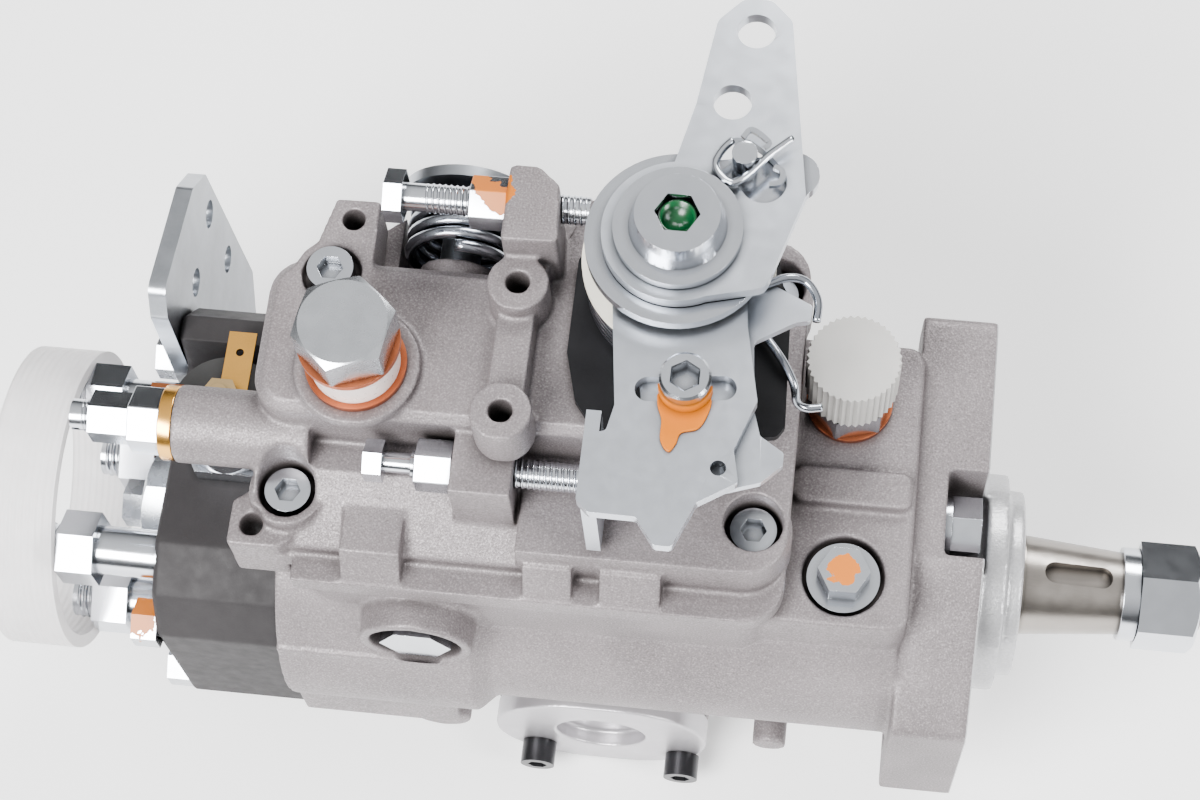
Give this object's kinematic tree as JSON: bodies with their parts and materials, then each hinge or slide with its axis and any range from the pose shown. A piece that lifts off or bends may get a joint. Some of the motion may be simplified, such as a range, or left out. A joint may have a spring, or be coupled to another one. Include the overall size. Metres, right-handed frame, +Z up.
{
  "type": "diesel injection pump",
  "caption": "Rotary diesel injection pump with flanged cast housing, governor cover with adjusting levers, fuel outlets in a distributor head and a tapered drive shaft.",
  "frame": {"origin": "centre of the flange's mounting face, on the drive shaft's axis", "axes": "+X along the shaft towards its nose, +Z up to the governor cover, +Y to the far side with the long flange ear"},
  "size_m": [0.2765, 0.1266, 0.187],
  "materials": {
    "cast_alloy": "cast, matt grey",
    "head_black": "blackened steel",
    "zinc_steel": "bright zinc plate",
    "solenoid_gold": "yellow passivated",
    "shaft_steel": "ground steel",
    "spring_steel": "drawn wire",
    "cream_plastic": "smooth",
    "clear_plastic": "milky, see-through",
    "grey_plastic": "smooth",
    "black_plate": "matt",
    "seal_rubber": "matt",
    "bearing_bronze": "turned"
  },
  "bodies": {
    "body": {"pump_housing": "cast_alloy", "governor_cover": "cast_alloy", "timing_cover": "cast_alloy", "distributor_head": "head_black", "head_bolts": "zinc_steel", "delivery_valve_holders": "zinc_steel", "socket_screws": "zinc_steel", "overflow_bolt": "zinc_steel", "overflow_washers": "zinc_steel", "head_plugs": "zinc_steel", "adjusting_screws": "zinc_steel", "adjusting_locknuts": "zinc_steel", "housing_plugs": "zinc_steel", "full_load_screw": "zinc_steel", "rear_bracket": "zinc_steel", "stop_solenoid": "solenoid_gold", "solenoid_terminal": "solenoid_gold", "pump_ring": "shaft_steel", "pump_cover_plate": "shaft_steel", "spring_yoke": "shaft_steel", "governor_shaft": "shaft_steel", "distributor_barrel": "shaft_steel", "plunger_springs": "spring_steel", "timing_spring": "spring_steel", "governor_spring": "spring_steel", "return_spring": "spring_steel", "stop_lever_spring": "spring_steel", "overflow_collar": "cream_plastic", "spring_drum": "cream_plastic", "valve_ring_cap": "clear_plastic", "transport_cap": "grey_plastic", "shield_plate": "black_plate", "shaft_seal": "seal_rubber", "shaft_bush": "bearing_bronze"},
    "drive_line": {"drive_shaft": "shaft_steel", "shaft_washer": "shaft_steel", "shaft_nut": "shaft_steel", "vane_rotor": "shaft_steel", "pump_vanes": "shaft_steel", "drive_gear": "shaft_steel", "cross_disc": "shaft_steel", "cam_plate": "shaft_steel", "plunger": "shaft_steel"},
    "governor_rotor": {"governor_gear": "shaft_steel"},
    "weight_1": {"flyweight_1": "shaft_steel"},
    "weight_2": {"flyweight_2": "shaft_steel"},
    "weight_3": {"flyweight_3": "shaft_steel"},
    "weight_4": {"flyweight_4": "shaft_steel"},
    "sleeve": {"governor_sleeve": "shaft_steel"},
    "governor_arm": {"governor_lever": "shaft_steel"},
    "spill": {"spill_sleeve": "shaft_steel"},
    "timing": {"timing_piston": "shaft_steel"},
    "roller_carrier": {"roller_ring": "shaft_steel", "cam_rollers": "shaft_steel"},
    "speed_control": {"speed_lever_shaft": "zinc_steel", "speed_lever_plate": "zinc_steel", "lever_cap": "zinc_steel"},
    "pull_arm": {"throttle_arm": "zinc_steel"},
    "stop_control": {"stop_lever": "zinc_steel"},
    "armature": {"solenoid_armature": "shaft_steel"}
  },
  "joints": [
    {"name": "shaft_turn", "type": "hinge", "parent": "body", "child": "drive_line", "pos_m": [0, 0, 0], "axis": [1, 0, 0], "continuous": true},
    {"name": "governor_turn", "type": "hinge", "parent": "body", "child": "governor_rotor", "pos_m": [-0.067, 0.0148, 0.04329], "axis": [1, 0, 0], "continuous": true},
    {"name": "sleeve_slide", "type": "slide", "parent": "body", "child": "sleeve", "axis": [-1, 0, 0], "range_m": [0, 0.0015], "stiffness_N_per_m": 400, "springref_m": -0.002},
    {"name": "governor_arm_tilt", "type": "hinge", "parent": "body", "child": "governor_arm", "pos_m": [-0.1085, 0.0148, 0.027], "axis": [0, -1, 0], "range_deg": [0, 5.35]},
    {"name": "spill_slide", "type": "slide", "parent": "body", "child": "spill", "axis": [1, 0, 0], "range_m": [0, 0.0016]},
    {"name": "timing_slide", "type": "slide", "parent": "body", "child": "timing", "axis": [0, 1, 0], "range_m": [0, 0.007], "stiffness_N_per_m": 5000, "springref_m": -0.004, "deforming": ["timing_spring"]},
    {"name": "roller_ring_turn", "type": "hinge", "parent": "body", "child": "roller_carrier", "pos_m": [-0.0855, 0, 0], "axis": [1, 0, 0], "range_deg": [0, 9]},
    {"name": "speed_lever_turn", "type": "hinge", "parent": "body", "child": "speed_control", "pos_m": [-0.07, 0.03, 0.099], "axis": [0, 0, 1], "range_deg": [0, 40], "stiffness_Nm_per_rad": 0.6, "springref_deg": -20.05, "deforming": ["governor_spring"]},
    {"name": "throttle_arm_turn", "type": "hinge", "parent": "speed_control", "child": "pull_arm", "pos_m": [-0.07, 0.03, 0.107], "axis": [0, 0, 1], "range_deg": [0, 15], "stiffness_Nm_per_rad": 1.2, "springref_deg": -20.05},
    {"name": "stop_lever_turn", "type": "hinge", "parent": "body", "child": "stop_control", "pos_m": [-0.1196, 0.045, 0.066], "axis": [0, 1, 0], "range_deg": [0, 25], "stiffness_Nm_per_rad": 0.3, "springref_deg": -20.05},
    {"name": "armature_slide", "type": "slide", "parent": "body", "child": "armature", "axis": [0, 0, 1], "range_m": [0, 0.0015], "stiffness_N_per_m": 400, "springref_m": -0.004},
    {"name": "weight_1_tilt", "type": "hinge", "parent": "governor_rotor", "child": "weight_1", "pos_m": [-0.0755, 0.0018, 0.04329], "axis": [0, 0, 1], "range_deg": [0, 10.2]},
    {"name": "weight_2_tilt", "type": "hinge", "parent": "governor_rotor", "child": "weight_2", "pos_m": [-0.0755, 0.0148, 0.03029], "axis": [0, -1, 0], "range_deg": [0, 10.2]},
    {"name": "weight_3_tilt", "type": "hinge", "parent": "governor_rotor", "child": "weight_3", "pos_m": [-0.0755, 0.0278, 0.04329], "axis": [0, 0, -1], "range_deg": [0, 10.2]},
    {"name": "weight_4_tilt", "type": "hinge", "parent": "governor_rotor", "child": "weight_4", "pos_m": [-0.0755, 0.0148, 0.05629], "axis": [0, 1, 0], "range_deg": [0, 10.2]}
  ],
  "couplings": [
    {"joint": "governor_turn", "follows": "shaft_turn", "ratio": -1.5417},
    {"joint": "governor_arm_tilt", "follows": "sleeve_slide", "rad_per_m": 61.387},
    {"joint": "spill_slide", "follows": "sleeve_slide", "ratio": 1.0252},
    {"joint": "roller_ring_turn", "follows": "timing_slide", "rad_per_m": 21.739},
    {"joint": "weight_1_tilt", "follows": "sleeve_slide", "rad_per_m": 116.36},
    {"joint": "weight_2_tilt", "follows": "sleeve_slide", "rad_per_m": 116.36},
    {"joint": "weight_3_tilt", "follows": "sleeve_slide", "rad_per_m": 116.36},
    {"joint": "weight_4_tilt", "follows": "sleeve_slide", "rad_per_m": 116.36}
  ]
}
